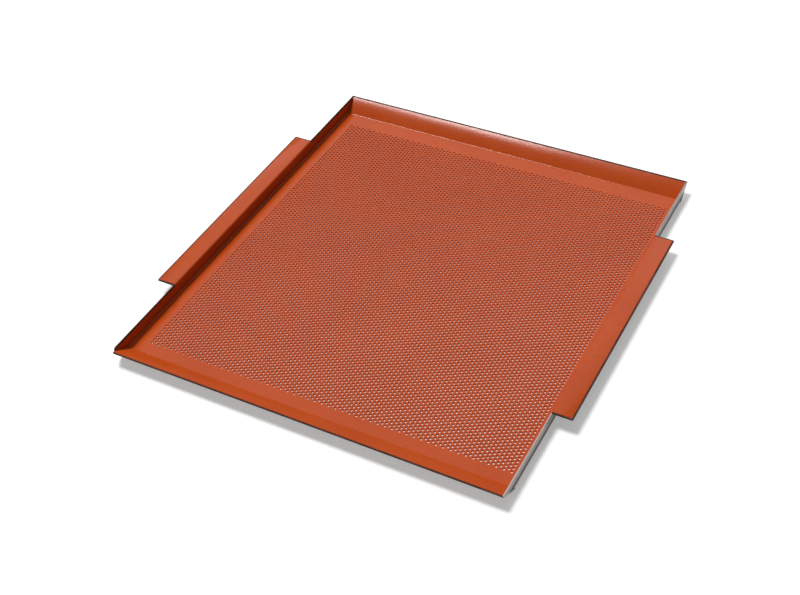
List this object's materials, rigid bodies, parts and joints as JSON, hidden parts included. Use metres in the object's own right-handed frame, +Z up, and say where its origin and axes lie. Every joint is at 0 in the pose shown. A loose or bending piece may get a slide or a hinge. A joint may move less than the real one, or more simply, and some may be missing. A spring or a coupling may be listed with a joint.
{
  "type": "flat perforated baking tray",
  "caption": "Shallow perforated aluminium baking tray with a silicone release coat, sloped front and back lips, upright sides and flat rest wings.",
  "frame": {"origin": "middle of the tray's outline, half-way between the two rims and between the two wings, level with the floor's underside, where the tray stands on a flat surface", "axes": "+Z up out of the tray, +X towards the right rest wing, +Y towards the back lip, which is the longest direction"},
  "size_m": [0.53, 0.562, 0.0178],
  "materials": {
    "bare_aluminium": "dull rolled sheet, darkened by the oven",
    "silicone_coat": "satin terracotta silicone release coat",
    "weld_metal": "matt weld bead"
  },
  "bodies": {
    "root": {"floor_sheet": "bare_aluminium", "floor_coat": "silicone_coat", "back_lip": "bare_aluminium", "back_lip_coat": "silicone_coat", "front_lip": "bare_aluminium", "front_lip_coat": "silicone_coat", "right_wall": "bare_aluminium", "right_wall_coat": "silicone_coat", "left_wall": "bare_aluminium", "left_wall_coat": "silicone_coat", "right_wing": "bare_aluminium", "right_wing_coat": "silicone_coat", "left_wing": "bare_aluminium", "left_wing_coat": "silicone_coat", "corner_weld_back_right": "weld_metal", "corner_weld_back_left": "weld_metal", "corner_weld_front_right": "weld_metal", "corner_weld_front_left": "weld_metal"}
  },
  "joints": []
}
